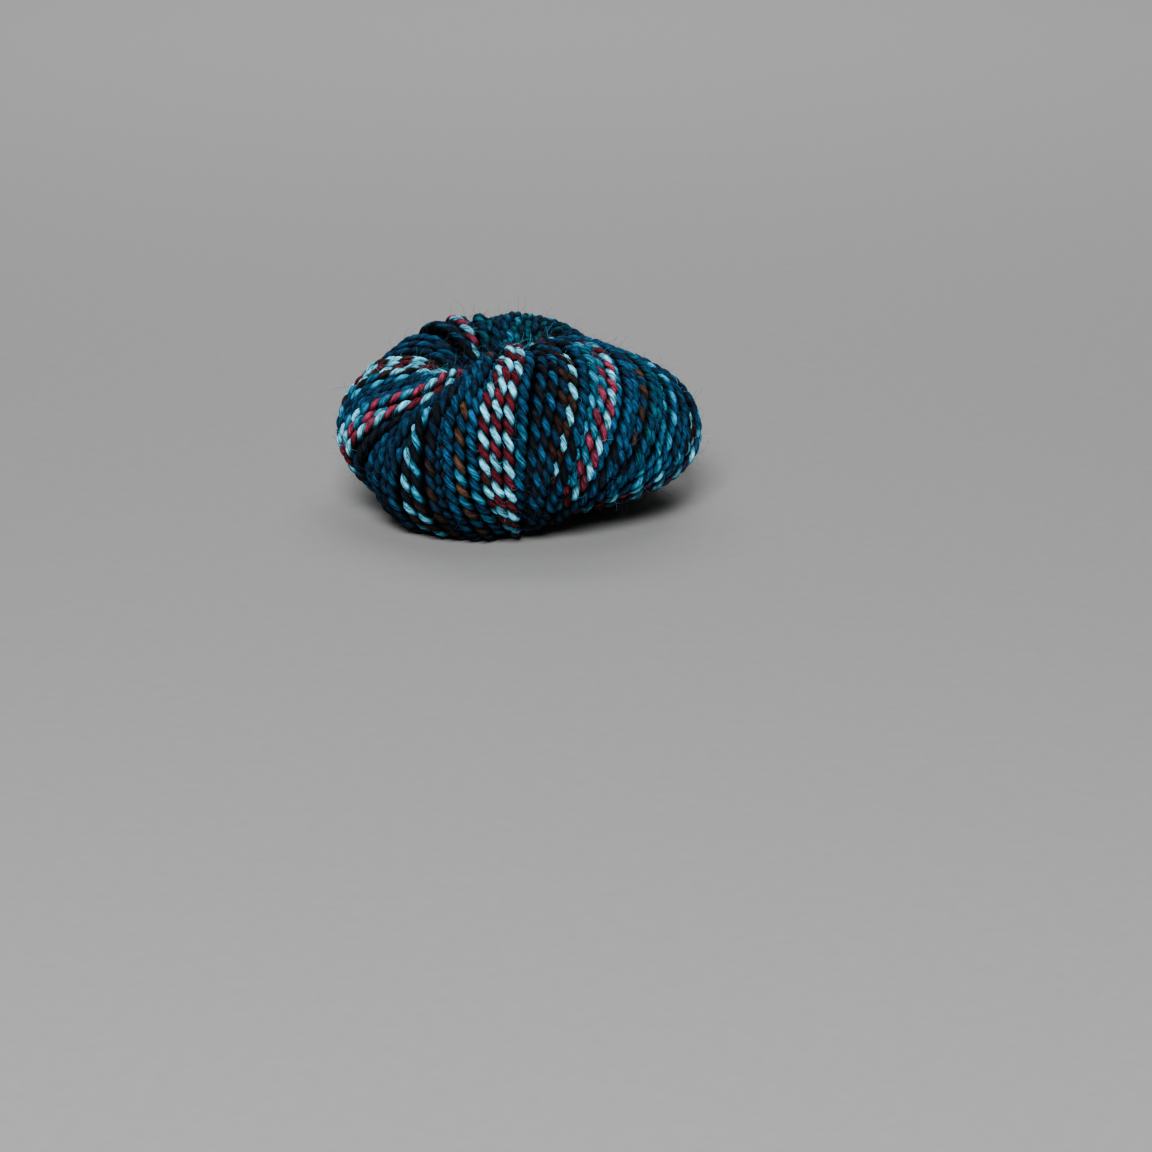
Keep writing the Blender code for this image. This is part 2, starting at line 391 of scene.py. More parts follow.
def soft_noise(rng, count, samples, waves, size):
    """Slow random waves along each turn, closed round the section."""
    t = np.linspace(0.0, 2.0 * np.pi, samples)
    total = np.zeros((count, samples))
    for wave in waves:
        phase = rng.random((count, 1)) * 2.0 * np.pi
        weight = rng.normal(0.0, 1.0, (count, 1)) / wave ** 0.5
        total += weight * np.sin(wave * t[None, :] + phase)
    return total * size


def unit(vectors):
    """The same directions with a length of one."""
    return vectors / np.linalg.norm(vectors, axis=-1, keepdims=True)


def outward_directions(centre, place, turn):
    """Directions away from the wound form, square to each line."""
    radial = place * np.pi / 180.0
    outwards = np.stack([
        np.cos(turn)[None, :] * np.cos(radial),
        np.cos(turn)[None, :] * np.sin(radial),
        np.sin(turn)[None, :] * np.ones_like(radial),
    ], axis=-1)
    along = unit(np.gradient(centre, axis=1))
    return unit(outwards - (outwards * along).sum(-1, keepdims=True) * along)


def lay_under_turns(thickness):
    """Turns that lie low in the grooves between the bundles, past the hole."""
    starts = column(BUNDLES, BUNDLE_COLUMNS, "start")
    turn = np.linspace(UNDER_START, UNDER_END, UNDER_SAMPLES)
    place, lifted = lane_places(starts, turn)
    depth = UNDER_SINK * thickness
    centre = skin_points(place, turn[None, :], lifted - depth, thickness / 2.0) - CENTRE
    return centre, outward_directions(centre, place, turn)


def lay_turns(spacing, thickness, seed):
    """Centre lines of all turns, their outward directions and their depths."""
    rng = np.random.default_rng(seed)
    azimuths = turn_azimuths(spacing)
    count = len(azimuths)
    azimuths = azimuths + rng.normal(0.0, AZIMUTH_STRAY, count) * 360.0 / count
    turn = np.linspace(np.pi + TURN_OVERLAP, -np.pi - TURN_OVERLAP, TURN_SAMPLES)
    place, lifted = lane_places(azimuths, turn)
    base = skin_points(place, turn[None, :], lifted)
    along = unit(np.gradient(base, axis=1))
    across = np.roll(base, -1, axis=0) - np.roll(base, 1, axis=0)
    across -= (across * along).sum(-1, keepdims=True) * along
    gap = np.linalg.norm(across, axis=-1) / 2.0
    across = unit(across)

    # Turns that no longer fit side by side slip under their neighbours
    seat = thickness * SEAT_SHARE
    order = sink_order(count, rng)
    depth = np.zeros_like(gap)
    for rank in SINK_RANKS:
        wide = gap * 2 ** (SINK_RANKS[0] - rank)
        slip = np.sqrt(np.clip(seat ** 2 - wide ** 2, 0.0, None))
        depth += np.where((order >= rank)[:, None], slip, 0.0)
    kernel = np.hanning(SINK_BLEND)
    kernel /= kernel.sum()
    padded = np.pad(depth, ((0, 0), (SINK_BLEND // 2, SINK_BLEND // 2)), mode="edge")
    depth = np.stack([np.convolve(row, kernel, mode="valid") for row in padded])
    roll = soft_noise(rng, count, TURN_SAMPLES, ROLL_WAVES, ROLL_SIZE)
    lift = np.clip(rng.normal(0.0, LIFT_SIZE, (count, 1)) + roll, LOWEST_LIFT, HIGHEST_LIFT)
    centre = skin_points(
        place, turn[None, :], lifted + lift - thickness / 2.0 - depth, thickness / 2.0
    )
    wander = soft_noise(rng, count, TURN_SAMPLES, WANDER_WAVES, WANDER_SIZE)
    centre = centre + across * wander[..., None] * np.clip(gap / seat, 0.2, 1.0)[..., None]
    centre -= CENTRE
    return azimuths, centre, outward_directions(centre, place, turn), depth


# Dyes

DYE_CODES = {
    "ice": "#60caea",
    "turquoise": "#1a7a9c",
    "blue": "#0b4163",
    "teal": "#094758",
    "deep": "#09334e",
    "navy": "#07243b",
    "black": "#0a1119",
    "brown": "#2a1b16",
    "rust": "#432d22",
    "maroon": "#4c101c",
    "crimson": "#822c44",
}

# The low turns take only the dark dyes of the cake, as painted shade in the grooves they fill
UNDER_SHADE_DYES = ("deep", "navy", "black", "brown")

# Runs that start only past the crest; nearer the hole these turns are deep blue
LATE_RUNS = (324.5, 330.5)

# Where the dye changes for a short run, a ply takes the next paler or darker dye
DYE_STEPS = {
    "ice": ("turquoise", "ice"),
    "turquoise": ("ice", "blue"),
    "blue": ("turquoise", "navy"),
    "teal": ("turquoise", "navy"),
    "deep": ("blue", "black"),
    "navy": ("blue", "black"),
    "black": ("deep", "brown"),
    "brown": ("black", "deep"),
    "rust": ("brown", "navy"),
    "maroon": ("crimson", "brown"),
    "crimson": ("ice", "maroon"),
}

# Changes of dye as shares of one turn: where, how much that strays, how soft
FOOT_CHANGE = (0.5, 0.05, 0.14)
LATE_CHANGE = (0.27, 0.02, 0.08)
MOST_STEPS = 3
STEP_PLACES = (0.12, 0.9)
STEP_REACHES = (0.02, 0.07)
STEP_SOFTNESS = 0.02
DARKER_STEPS = 0.6
TONE_STRAY = 0.14

# Painted shade: the colour is darkened deep in the throat and on the underside, where shade falls
THROAT_PAINTED_SHADE = 0.6
UNDER_PAINTED_SHADE = 0.75


def dye_change(share, rng, middle, stray, softness):
    """Soft step from one dye to the next along a turn."""
    return ease((share - middle - rng.normal(0.0, stray)) / softness)[:, None]


def dye_runs(azimuths, share, rng, dyes):
    """Linear colours of both plies along each turn, with painted shade in the throat and
    underneath.
    """
    starts = np.array([row[0] for row in DYES])
    turn = np.pi - 2.0 * np.pi * share
    # Painted shade: darker deep in the throat and on the underside
    under = ease(-0.06 - 1.35 * np.sin(turn))
    painted_shade = (1.0 - THROAT_PAINTED_SHADE * throat_share(turn)) * (1.0 - UNDER_PAINTED_SHADE * under)
    colours = np.zeros((2, len(azimuths), len(share), 3))
    for k, azimuth in enumerate(azimuths):
        here = int(np.searchsorted(starts, np.mod(azimuth, 360.0), side="right") - 1)
        run = dict(zip(DYE_COLUMNS, DYES[here]))
        for ply, which in enumerate(("first", "second")):
            top = run[which + "_top"]
            foot = run[which + "_foot"]
            change = dye_change(share, rng, *FOOT_CHANGE)
            line = dyes[top] * (1.0 - change) + dyes[foot] * change
            if run["azimuth"] in LATE_RUNS:
                start = dye_change(share, rng, *LATE_CHANGE)
                line = dyes["deep"] * (1.0 - start) + line * start
            for _ in range(rng.integers(0, MOST_STEPS)):
                middle = rng.uniform(*STEP_PLACES)
                reach = rng.uniform(*STEP_REACHES)
                bump = ease((reach - np.abs(share - middle)) / STEP_SOFTNESS + 0.5)[:, None]
                steps = DYE_STEPS[top if middle < FOOT_CHANGE[0] else foot]
                other = dyes[steps[int(rng.random() < DARKER_STEPS)]]
                line = line * (1.0 - bump) + other * bump
            colours[ply, k] = line * painted_shade[:, None] * np.exp(rng.normal(0.0, TONE_STRAY))
    return colours


def linked(name, data):
    """An object of the data, linked to the scene."""
    made = bpy.data.objects.new(name, data)
    bpy.context.scene.collection.objects.link(made)
    return made


def guide_line(points, outwards, dye_first, dye_second, start_twist):
    """What one length of yarn needs along its centre line."""
    return {
        "points": points,
        "outwards": outwards,
        "dye_first": dye_first,
        "dye_second": dye_second,
        "start_twist": np.full(len(points), start_twist),
    }


def guide_mesh(name, lines):
    """A mesh of open lines that carries what the yarn tree reads."""
    points = np.concatenate([line["points"] for line in lines])
    ends = np.cumsum([len(line["points"]) for line in lines])
    steps = np.delete(np.arange(len(points) - 1), ends[:-1] - 1)
    edges = np.stack([steps, steps + 1], axis=1)
    mesh = bpy.data.meshes.new(name)
    mesh.vertices.add(len(points))
    mesh.vertices.foreach_set("co", points.astype(np.float32).ravel())
    mesh.edges.add(len(edges))
    mesh.edges.foreach_set("vertices", edges.astype(np.int32).ravel())
    for key, kind, field in (
        ("outwards", "FLOAT_VECTOR", "vector"),
        ("dye_first", "FLOAT_VECTOR", "vector"),
        ("dye_second", "FLOAT_VECTOR", "vector"),
        ("start_twist", "FLOAT", "value"),
    ):
        layer = mesh.attributes.new(key, kind, "POINT")
        values = np.concatenate([line[key] for line in lines]).astype(np.float32)
        layer.data.foreach_set(field, values.ravel())
    mesh.update()
    return linked(name, mesh)


# Trees

TWIST_LENGTH = 6.3 * MM
PLY_OFFSET = 0.7 * MM
PLY_RADIUS = 0.87 * MM
PLY_STEP = 0.55 * MM
PLY_SIDES = 7

FIBRE_DENSITY = 400000.0
FIBRE_LENGTH = 3.8 * MM
FIBRE_RADIUS = 0.021 * MM
FIBRE_SIDES = 3
FIBRE_STEPS = 4
FIBRE_TIP = 0.35
FIBRE_FLOOR = 0.1 * MM

# Lengths as shares of the common one; more rarity leaves fewer long fibres
FIBRE_SHORTEST = 0.3
FIBRE_LONGEST = 1.25
FIBRE_RARITY = 3.0

# Fibres stand this much denser near the hole, and as set past the far distance
ROUGH_FACTOR = 7.5
ROUGH_NEAR = 10.0 * MM
ROUGH_FAR = 23.0 * MM

# Fibres leave only wool that stands out of its yarn, and lie nearly flat on it
PROUD_RISE = 0.55
UPRIGHT_SHARE = 0.55
STRAY_SHARE = 1.3

# Shapes of the loose fibres for a length of one: the root, then middle and end points
FIBRE_ROOT = (0.0, 0.0, -0.05)
FIBRE_BENDS = (
    ((0.0, 0.3, 0.5), (0.4, 0.8, 0.4)),
    ((0.2, -0.3, 0.5), (-0.4, -0.3, 1.0)),
    ((0.45, 0.2, 0.3), (0.8, -0.3, 0.25)),
    ((-0.4, 0.4, 0.2), (0.1, 0.9, 0.1)),
)

# The node kinds that are used most
MATH = "ShaderNodeMath"
VECTOR_MATH = "ShaderNodeVectorMath"
MAP_RANGE = "ShaderNodeMapRange"
NOISE = "ShaderNodeTexNoise"
READ = "GeometryNodeInputNamedAttribute"


def add_node(tree, kind, inputs=None, **settings):
    """A node with its settings. An input takes a value, a socket, or a node's first output."""
    node = tree.nodes.new(kind)
    for key, value in settings.items():
        setattr(node, key, value)
    for key, value in (inputs or {}).items():
        if isinstance(value, bpy.types.Node):
            value = value.outputs[0]
        if isinstance(value, bpy.types.NodeSocket):
            tree.links.new(value, node.inputs[key])
        else:
            node.inputs[key].default_value = value
    return node


def new_tree(name, inputs):
    """A geometry tree with named inputs, and the sockets that give them."""
    tree = bpy.data.node_groups.new(name, "GeometryNodeTree")
    tree.interface.new_socket("Geometry", in_out="INPUT", socket_type="NodeSocketGeometry")
    for title, kind, default in inputs:
        item = tree.interface.new_socket(title, in_out="INPUT", socket_type="NodeSocket" + kind)
        item.default_value = default
    tree.interface.new_socket("Geometry", in_out="OUTPUT", socket_type="NodeSocketGeometry")
    return tree, add_node(tree, "NodeGroupInput").outputs


def stored(tree, geometry, name, value, kind="FLOAT_VECTOR"):
    """A geometry that carries a value at its points under a name."""
    inputs = {"Geometry": geometry, "Name": name, "Value": value}
    return add_node(tree, "GeometryNodeStoreNamedAttribute", inputs, data_type=kind)


def close_tree(tree, geometry, material):
    """Gives a tree's geometry its material and sends it out."""
    skinned = add_node(
        tree, "GeometryNodeSetMaterial", {"Geometry": geometry, "Material": material}
    )
    add_node(tree, "NodeGroupOutput", {"Geometry": skinned})
    return tree


def plied_yarn_tree(material):
    """Sweeps two plies that twist round each other along every guide line."""
    tree, source = new_tree("Plied yarn", (
        ("Twist length", "Float", TWIST_LENGTH),
        ("Ply offset", "Float", PLY_OFFSET),
        ("Ply radius", "Float", PLY_RADIUS),
        ("Step", "Float", PLY_STEP),
    ))
    place = add_node(tree, "GeometryNodeInputPosition")
    length = add_node(tree, "GeometryNodeSplineParameter").outputs["Length"]
    curves = add_node(tree, "GeometryNodeMeshToCurve", {"Mesh": source["Geometry"]})
    kept = add_node(tree, "GeometryNodeResampleCurve", {
        "Curve": curves, "Length": source["Step"],
    }, mode="LENGTH")
    kept = stored(tree, kept, "along", length, "FLOAT")
    kept = stored(tree, kept, "middle", place)
    outwards, middle, dye_first, dye_second = (
        add_node(tree, READ, {"Name": name}, data_type="FLOAT_VECTOR")
        for name in ("outwards", "middle", "dye_first", "dye_second")
    )
    tangent = add_node(tree, "GeometryNodeInputTangent")
    sideways = add_node(tree, VECTOR_MATH, {0: tangent, 1: outwards}, operation="CROSS_PRODUCT")
    sideways = add_node(tree, VECTOR_MATH, {0: sideways}, operation="NORMALIZE")
    upright = add_node(tree, VECTOR_MATH, {0: sideways, 1: tangent}, operation="CROSS_PRODUCT")
    start = add_node(tree, READ, {"Name": "start_twist"}, data_type="FLOAT")
    turns = add_node(tree, MATH, {0: length, 1: source["Twist length"]}, operation="DIVIDE")
    turns = add_node(tree, MATH, {0: start, 1: turns}, operation="SUBTRACT")
    ring = add_node(tree, "GeometryNodeCurvePrimitiveCircle", {
        "Resolution": PLY_SIDES, "Radius": source["Ply radius"],
    })
    ring = stored(tree, ring, "round_ply", place)
    # Wool is spun a little thicker and thinner
    swell = add_node(tree, NOISE, {"Scale": 260.0, "Detail": 1.0})
    swell = add_node(tree, MAP_RANGE, {
        "Value": swell, "From Min": 0.3, "From Max": 0.7, "To Min": 0.9, "To Max": 1.1,
    })
    joined = add_node(tree, "GeometryNodeJoinGeometry")
    for ply, dye in enumerate((dye_first, dye_second)):
        angle = {0: turns, 1: 2.0 * math.pi, 2: math.pi * ply}
        angle = add_node(tree, MATH, angle, operation="MULTIPLY_ADD")
        parts = []
        for wave, side in (("COSINE", upright), ("SINE", sideways)):
            share = add_node(tree, MATH, {0: angle}, operation=wave)
            parts.append(add_node(tree, VECTOR_MATH, {0: side, "Scale": share}, operation="SCALE"))
        offset = add_node(tree, VECTOR_MATH, dict(enumerate(parts)), operation="ADD")
        offset = {0: offset, "Scale": source["Ply offset"]}
        offset = add_node(tree, VECTOR_MATH, offset, operation="SCALE")
        moved = add_node(tree, "GeometryNodeSetPosition", {"Geometry": kept, "Offset": offset})
        dyed = stored(tree, moved, "dye", dye)
        sized = add_node(tree, "GeometryNodeSetCurveRadius", {"Curve": dyed, "Radius": swell})
        swept = add_node(tree, "GeometryNodeCurveToMesh", {
            "Curve": sized, "Profile Curve": ring, "Fill Caps": True,
        })
        tree.links.new(swept.outputs["Mesh"], joined.inputs["Geometry"])
    # How far a place stands out of its own yarn: wool low between plies is in shade
    from_middle = add_node(tree, VECTOR_MATH, {0: place, 1: middle}, operation="SUBTRACT")
    rise = add_node(
        tree, VECTOR_MATH, {0: from_middle, 1: outwards}, operation="DOT_PRODUCT"
    ).outputs["Value"]
    reach = add_node(
        tree, MATH, {0: source["Ply offset"], 1: source["Ply radius"]}, operation="ADD"
    )
    rise = add_node(tree, MATH, {0: rise, 1: reach}, operation="DIVIDE")
    risen = stored(tree, joined, "rise", rise, "FLOAT")
    smooth = add_node(tree, "GeometryNodeSetShadeSmooth", {"Geometry": risen})
    real = add_node(tree, "GeometryNodeRealizeInstances", {"Geometry": smooth})
    return close_tree(tree, real, material)


def fuzz_tree(material):
    """Plants bent loose fibres on a mesh, dyed like the wool they leave."""
    tree, source = new_tree("Wool fuzz", (
        ("Density", "Float", FIBRE_DENSITY),
        ("Length", "Float", FIBRE_LENGTH),
        ("Radius", "Float", FIBRE_RADIUS),
        ("Hole", "Vector", (0.0, 0.0, 0.0)),
        ("Seed", "Int", 0),
    ))
    # The wool is roughest round the hole, where the cake was drawn off its tool
    place = add_node(tree, "GeometryNodeInputPosition")
    from_hole = add_node(
        tree, VECTOR_MATH, {0: place, 1: source["Hole"]}, operation="DISTANCE"
    ).outputs["Value"]
    rough = add_node(tree, MAP_RANGE, {
        "Value": from_hole,
        "From Min": ROUGH_NEAR, "From Max": ROUGH_FAR, "To Min": ROUGH_FACTOR, "To Max": 1.0,
    })
    density = add_node(tree, MATH, {0: source["Density"], 1: rough}, operation="MULTIPLY")
    rise = add_node(tree, READ, {"Name": "rise"}, data_type="FLOAT")
    proud = add_node(tree, MATH, {0: rise, 1: PROUD_RISE}, operation="GREATER_THAN")
    spread = add_node(tree, "GeometryNodeDistributePointsOnFaces", {
        "Mesh": source["Geometry"], "Density": density, "Seed": source["Seed"], "Selection": proud,
    })
    ring = add_node(tree, "GeometryNodeCurvePrimitiveCircle", {
        "Resolution": FIBRE_SIDES, "Radius": source["Radius"],
    })
    scale = add_node(tree, "ShaderNodeCombineXYZ", {axis: source["Length"] for axis in "XYZ"})
    taper = add_node(tree, MAP_RANGE, {
        "Value": add_node(tree, "GeometryNodeSplineParameter"), "To Min": 1.0, "To Max": FIBRE_TIP,
    })
    shapes = add_node(tree, "GeometryNodeJoinGeometry")
    for middle, end in FIBRE_BENDS:
        line = add_node(tree, "GeometryNodeCurveQuadraticBezier", {
            "Resolution": FIBRE_STEPS, "Start": FIBRE_ROOT, "Middle": middle, "End": end,
        })
        line = add_node(tree, "GeometryNodeTransform", {"Geometry": line, "Scale": scale})
        line = add_node(tree, "GeometryNodeSetCurveRadius", {"Curve": line, "Radius": taper})
        fibre = add_node(tree, "GeometryNodeCurveToMesh", {
            "Curve": line, "Profile Curve": ring, "Fill Caps": True,
        })
        fibre = add_node(tree, "GeometryNodeGeometryToInstance", {"Geometry": fibre})
        tree.links.new(fibre.outputs["Instances"], shapes.inputs["Geometry"])
    stray = add_node(
        tree, "FunctionNodeRandomValue",
        {0: (-STRAY_SHARE,) * 3, 1: (STRAY_SHARE,) * 3, "Seed": source["Seed"]},
        data_type="FLOAT_VECTOR",
    ).outputs[0]
    heading = add_node(
        tree, VECTOR_MATH,
        {0: spread.outputs["Normal"], 1: (UPRIGHT_SHARE,) * 3, 2: stray}, operation="MULTIPLY_ADD",
    )
    facing = add_node(tree, "FunctionNodeAlignRotationToVector", {"Vector": heading}, axis="Z")
    spin = add_node(
        tree, "FunctionNodeRandomValue", {2: 0.0, 3: 2.0 * math.pi}, data_type="FLOAT"
    ).outputs[1]
    spin = add_node(
        tree, "FunctionNodeAxisAngleToRotation", {"Axis": (0.0, 0.0, 1.0), "Angle": spin}
    )
    facing = add_node(
        tree, "FunctionNodeRotateRotation", {"Rotation": facing, "Rotate By": spin},
        rotation_space="LOCAL",
    )
    # Few fibres are long
    size = add_node(tree, "FunctionNodeRandomValue", {2: 0.0, 3: 1.0}, data_type="FLOAT").outputs[1]
    size = add_node(tree, MATH, {0: size, 1: FIBRE_RARITY}, operation="POWER")
    size = add_node(
        tree, MAP_RANGE, {"Value": size, "To Min": FIBRE_SHORTEST, "To Max": FIBRE_LONGEST}
    )
    planted = add_node(tree, "GeometryNodeInstanceOnPoints", {
        "Points": spread, "Instance": shapes, "Pick Instance": True,
        "Rotation": facing, "Scale": size,
    })
    real = add_node(tree, "GeometryNodeRealizeInstances", {"Geometry": planted})
    # No fibre dips under the floor
    parts = add_node(tree, "ShaderNodeSeparateXYZ", {"Vector": place}).outputs
    height = add_node(tree, MATH, {0: parts["Z"], 1: FIBRE_FLOOR}, operation="MAXIMUM")
    raised = add_node(tree, "ShaderNodeCombineXYZ", {"X": parts["X"], "Y": parts["Y"], "Z": height})
    lifted = add_node(tree, "GeometryNodeSetPosition", {"Geometry": real, "Position": raised})
    return close_tree(tree, lifted, material)


def grown_mesh(name, base, tree, inputs):
    """Plain mesh object from a base object and a tree with its inputs set."""
    modifier = base.modifiers.new("grow", "NODES")
    modifier.node_group = tree
    for item in tree.interface.items_tree:
        if item.item_type == "SOCKET" and item.in_out == "INPUT" and item.name in inputs:
            modifier[item.identifier] = inputs[item.name]
    graph = bpy.context.evaluated_depsgraph_get()
    mesh = bpy.data.meshes.new_from_object(base.evaluated_get(graph))
    mesh.name = name
    bpy.data.objects.remove(base, do_unlink=True)
    return linked(name, mesh)


# Materials

WOOL_IOR = 1.54

# The fibres in a ply: the length in which they go once round, how fast their
# streaks change along it, and how much a place on the cake shifts them
FIBRE_PITCH = 9.0 * MM
FIBRE_STRETCH = 0.16
FIBRE_DRIFT = 0.2


def new_material(name):
    """A material with an empty tree, and the tree."""
    material = bpy.data.materials.new(name)
    material.use_nodes = True
    material.node_tree.nodes.clear()
    return material, material.node_tree


def close_material(tree, inputs):
    """Gives a material's tree its surface."""
    surface = add_node(tree, "ShaderNodeBsdfPrincipled", inputs)
    add_node(tree, "ShaderNodeOutputMaterial", {"Surface": surface})


def plied_wool_material():
    """Combed wool, spun, plied and dyed: matt, with fine slanting fibres."""
    material, tree = new_material("plied_dyed_wool")
    dye = add_node(tree, "ShaderNodeAttribute", attribute_name="dye").outputs["Vector"]
    ring = add_node(tree, "ShaderNodeAttribute", attribute_name="round_ply").outputs["Vector"]
    along = add_node(tree, "ShaderNodeAttribute", attribute_name="along").outputs["Fac"]
    rise = add_node(tree, "ShaderNodeAttribute", attribute_name="rise").outputs["Fac"]
    place = add_node(tree, "ShaderNodeTexCoord").outputs["Object"]
    # The fibres of a ply turn slowly round it, against the ply twist
    angle = add_node(tree, MATH, {0: along, 1: 2.0 * math.pi / FIBRE_PITCH}, operation="MULTIPLY")
    turned = add_node(
        tree, "ShaderNodeVectorRotate", {"Vector": ring, "Angle": angle}, rotation_type="Z_AXIS"
    )
    across = add_node(tree, "ShaderNodeSeparateXYZ", {"Vector": turned}).outputs
    stretched = add_node(tree, MATH, {0: along, 1: FIBRE_STRETCH}, operation="MULTIPLY")
    on_fibre = add_node(
        tree, "ShaderNodeCombineXYZ", {"X": across["X"], "Y": across["Y"], "Z": stretched}
    )
    drift = add_node(tree, VECTOR_MATH, {0: place, 1: (FIBRE_DRIFT,) * 3}, operation="MULTIPLY")
    on_fibre = add_node(tree, VECTOR_MATH, {0: on_fibre, 1: drift}, operation="ADD")
    # Fibres are about 0.03 mm; strands of them show about 0.4 mm wide
    streak = add_node(tree, NOISE, {
        "Vector": on_fibre, "Scale": 2200.0, "Detail": 1.0, "Roughness": 0.6,
    })
    # Tufts of about 1 mm, and patches of some mm, take the dye more or less
    tuft = add_node(tree, NOISE, {
        "Vector": place, "Scale": 750.0, "Detail": 2.0, "Roughness": 0.6,
    })
    patch = add_node(tree, NOISE, {"Vector": place, "Scale": 180.0, "Detail": 2.0})
    shades = [
        add_node(tree, MAP_RANGE, {
            "Value": noise, "From Min": low, "From Max": high, "To Min": dark, "To Max": pale,
        })
        for noise, low, high, dark, pale in (
            (streak, 0.36, 0.64, 0.28, 1.75),
            (tuft, 0.36, 0.64, 0.6, 1.4),
            (patch, 0.3, 0.7, 0.7, 1.35),
        )
    ]
    # Painted shade: the colour is darkened low between the plies, and a little lighter on their
    # crests
    shades.append(add_node(
        tree, MAP_RANGE,
        {"Value": rise, "From Min": 0.15, "From Max": 1.0, "To Min": 0.05, "To Max": 1.15},
        interpolation_type="SMOOTHSTEP",
    ))
    strength = shades[0]
    for shade in shades[1:]:
        strength = add_node(tree, MATH, {0: strength, 1: shade}, operation="MULTIPLY")
    colour = add_node(tree, VECTOR_MATH, {0: dye, "Scale": strength}, operation="SCALE")
    bump = add_node(
        tree, "ShaderNodeBump", {"Height": streak, "Strength": 1.0, "Distance": 0.18 * MM}
    )
    close_material(tree, {
        "Base Color": colour, "Normal": bump,
        "Roughness": 0.82, "IOR": WOOL_IOR, "Specular IOR Level": 0.08,
    })
    return material


def loose_wool_material():
    """Single loose fibres: the dye of their yarn, painted a little paler all over for the light
    that shines through them.
    """
    material, tree = new_material("loose_wool_fibres")
    dye = add_node(tree, "ShaderNodeAttribute", attribute_name="dye").outputs["Vector"]
    # Painted light: a small pale lift over the dye for light through the thin fibres
    paler = add_node(
        tree, VECTOR_MATH, {0: dye, 1: (0.9, 1.0, 1.0), 2: (0.012, 0.024, 0.032)},
        operation="MULTIPLY_ADD",
    )
    close_material(tree, {
        "Base Color": paler, "Roughness": 0.7, "IOR": WOOL_IOR, "Specular IOR Level": 0.2,
    })
    return material


def plain_material(name, base, roughness, gloss=0.5):
    """An even matt finish with a faint mottle."""
    material, tree = new_material(name)
    place = add_node(tree, "ShaderNodeTexCoord").outputs["Object"]
    mottle = add_node(tree, NOISE, {"Vector": place, "Scale": 300.0, "Detail": 2.0})
    darker = tuple(c * 0.9 for c in base[:3]) + (1.0,)
    colour = add_node(
        tree, "ShaderNodeMix", {0: mottle, 6: darker, 7: tuple(base[:3]) + (1.0,)}, data_type="RGBA"
    ).outputs[2]
    close_material(tree, {
        "Base Color": colour, "Roughness": roughness, "Specular IOR Level": gloss,
    })
    return material


# Settings a user would change


def length_setting(name, default, least, description):
    """A setting in units of length."""
    return bpy.props.FloatProperty(
        name=name, description=description, default=default, min=least, unit="LENGTH"
    )


def colour_setting(name, code, description):
    """A setting that holds a colour, from an sRGB hex code."""
    return bpy.props.FloatVectorProperty(
        name=name, description=description, default=hex_to_linear(code)[:3],
        subtype="COLOR", min=0.0, max=1.0,
    )


class YarnCakeTurns(bpy.types.PropertyGroup):
    spacing: length_setting(
        "Turn spacing", 2.65 * MM, 1.0 * MM, "Distance between turns at the widest level"
    )
    thickness: length_setting("Yarn thickness", 2.95 * MM, 1.0 * MM, "Full width of the plied yarn")
    twist_length: length_setting(
        "Twist length", TWIST_LENGTH, 1.0 * MM, "Length of yarn in which a ply goes once round"
    )
    ply_offset: length_setting(
        "Ply offset", PLY_OFFSET, 0.1 * MM, "Distance from the yarn's middle to that of a ply"
    )
    ply_radius: length_setting("Ply radius", PLY_RADIUS, 0.1 * MM, "Half the width of one ply")
    step: length_setting("Step", PLY_STEP, 0.2 * MM, "Distance between rings of points on a ply")
    seed: bpy.props.IntProperty(
        name="Seed", description="Picks how the turns wander and which slip under", default=7, min=0
    )


class YarnCakeDyes(bpy.types.PropertyGroup):
    __annotations__ = {
        dye: colour_setting(
            dye.capitalize(), code, "Colour of the wool where the dye table says " + dye
        )
        for dye, code in DYE_CODES.items()
    }


class YarnCakeFuzz(bpy.types.PropertyGroup):
    density: bpy.props.FloatProperty(
        name="Fibres per square metre",
        description="Loose fibre ends that stand out of the yarn",
        default=FIBRE_DENSITY,
        min=0.0,
    )
    length: length_setting(
        "Fibre length", FIBRE_LENGTH, 0.1 * MM, "Longest common length of a loose fibre end"
    )
    radius: length_setting(
        "Fibre radius", FIBRE_RADIUS, 0.005 * MM, "Half the width of a loose fibre at its root"
    )


class YarnCakeStage(bpy.types.PropertyGroup):
    floor_colour: colour_setting("Floor colour", "#9b9b9b", "Colour of the floor and backdrop")
    light_strength: bpy.props.FloatProperty(
        name="Light strength",
        description="Power that the soft lights share out",
        default=16.0,
        min=0.0,
        unit="POWER",
    )
    view_distance: length_setting("View distance", 0.8, 0.1, "Distance from the camera to the cake")
    view_angle: bpy.props.FloatProperty(
        name="View angle",
        description="Angle of the camera above the surface",
        default=math.radians(15.0),
        subtype="ANGLE",
    )


# Pieces

TURN_PARTS = ("right", "back", "left", "front")
FUZZ_SEED = 11

# The core lies this far under the skin of the form, less in the throat
CORE_LANES = 120
CORE_ROWS = 48
CORE_INSET = 3.2 * MM
THROAT_INSET = 2.0 * MM
CORE_FLOOR = 2.4 * MM
# Near black: painted shade for the wool deep under the turns
CORE_SHADE_CODE = "#02060c"


def settle(piece):
    """Fixes a finished piece to the root body and hides the solid it replaces."""
    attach(piece, "root")
    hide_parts("yarn_cake")


def smooth_object(name, vertices, faces, material):
    """A smooth mesh object in its material, linked to the scene."""
    mesh = bpy.data.meshes.new(name)
    mesh.from_pydata(vertices, [], faces)
    mesh.update()
    mesh.shade_smooth()
    mesh.materials.append(material)
    return linked(name, mesh)


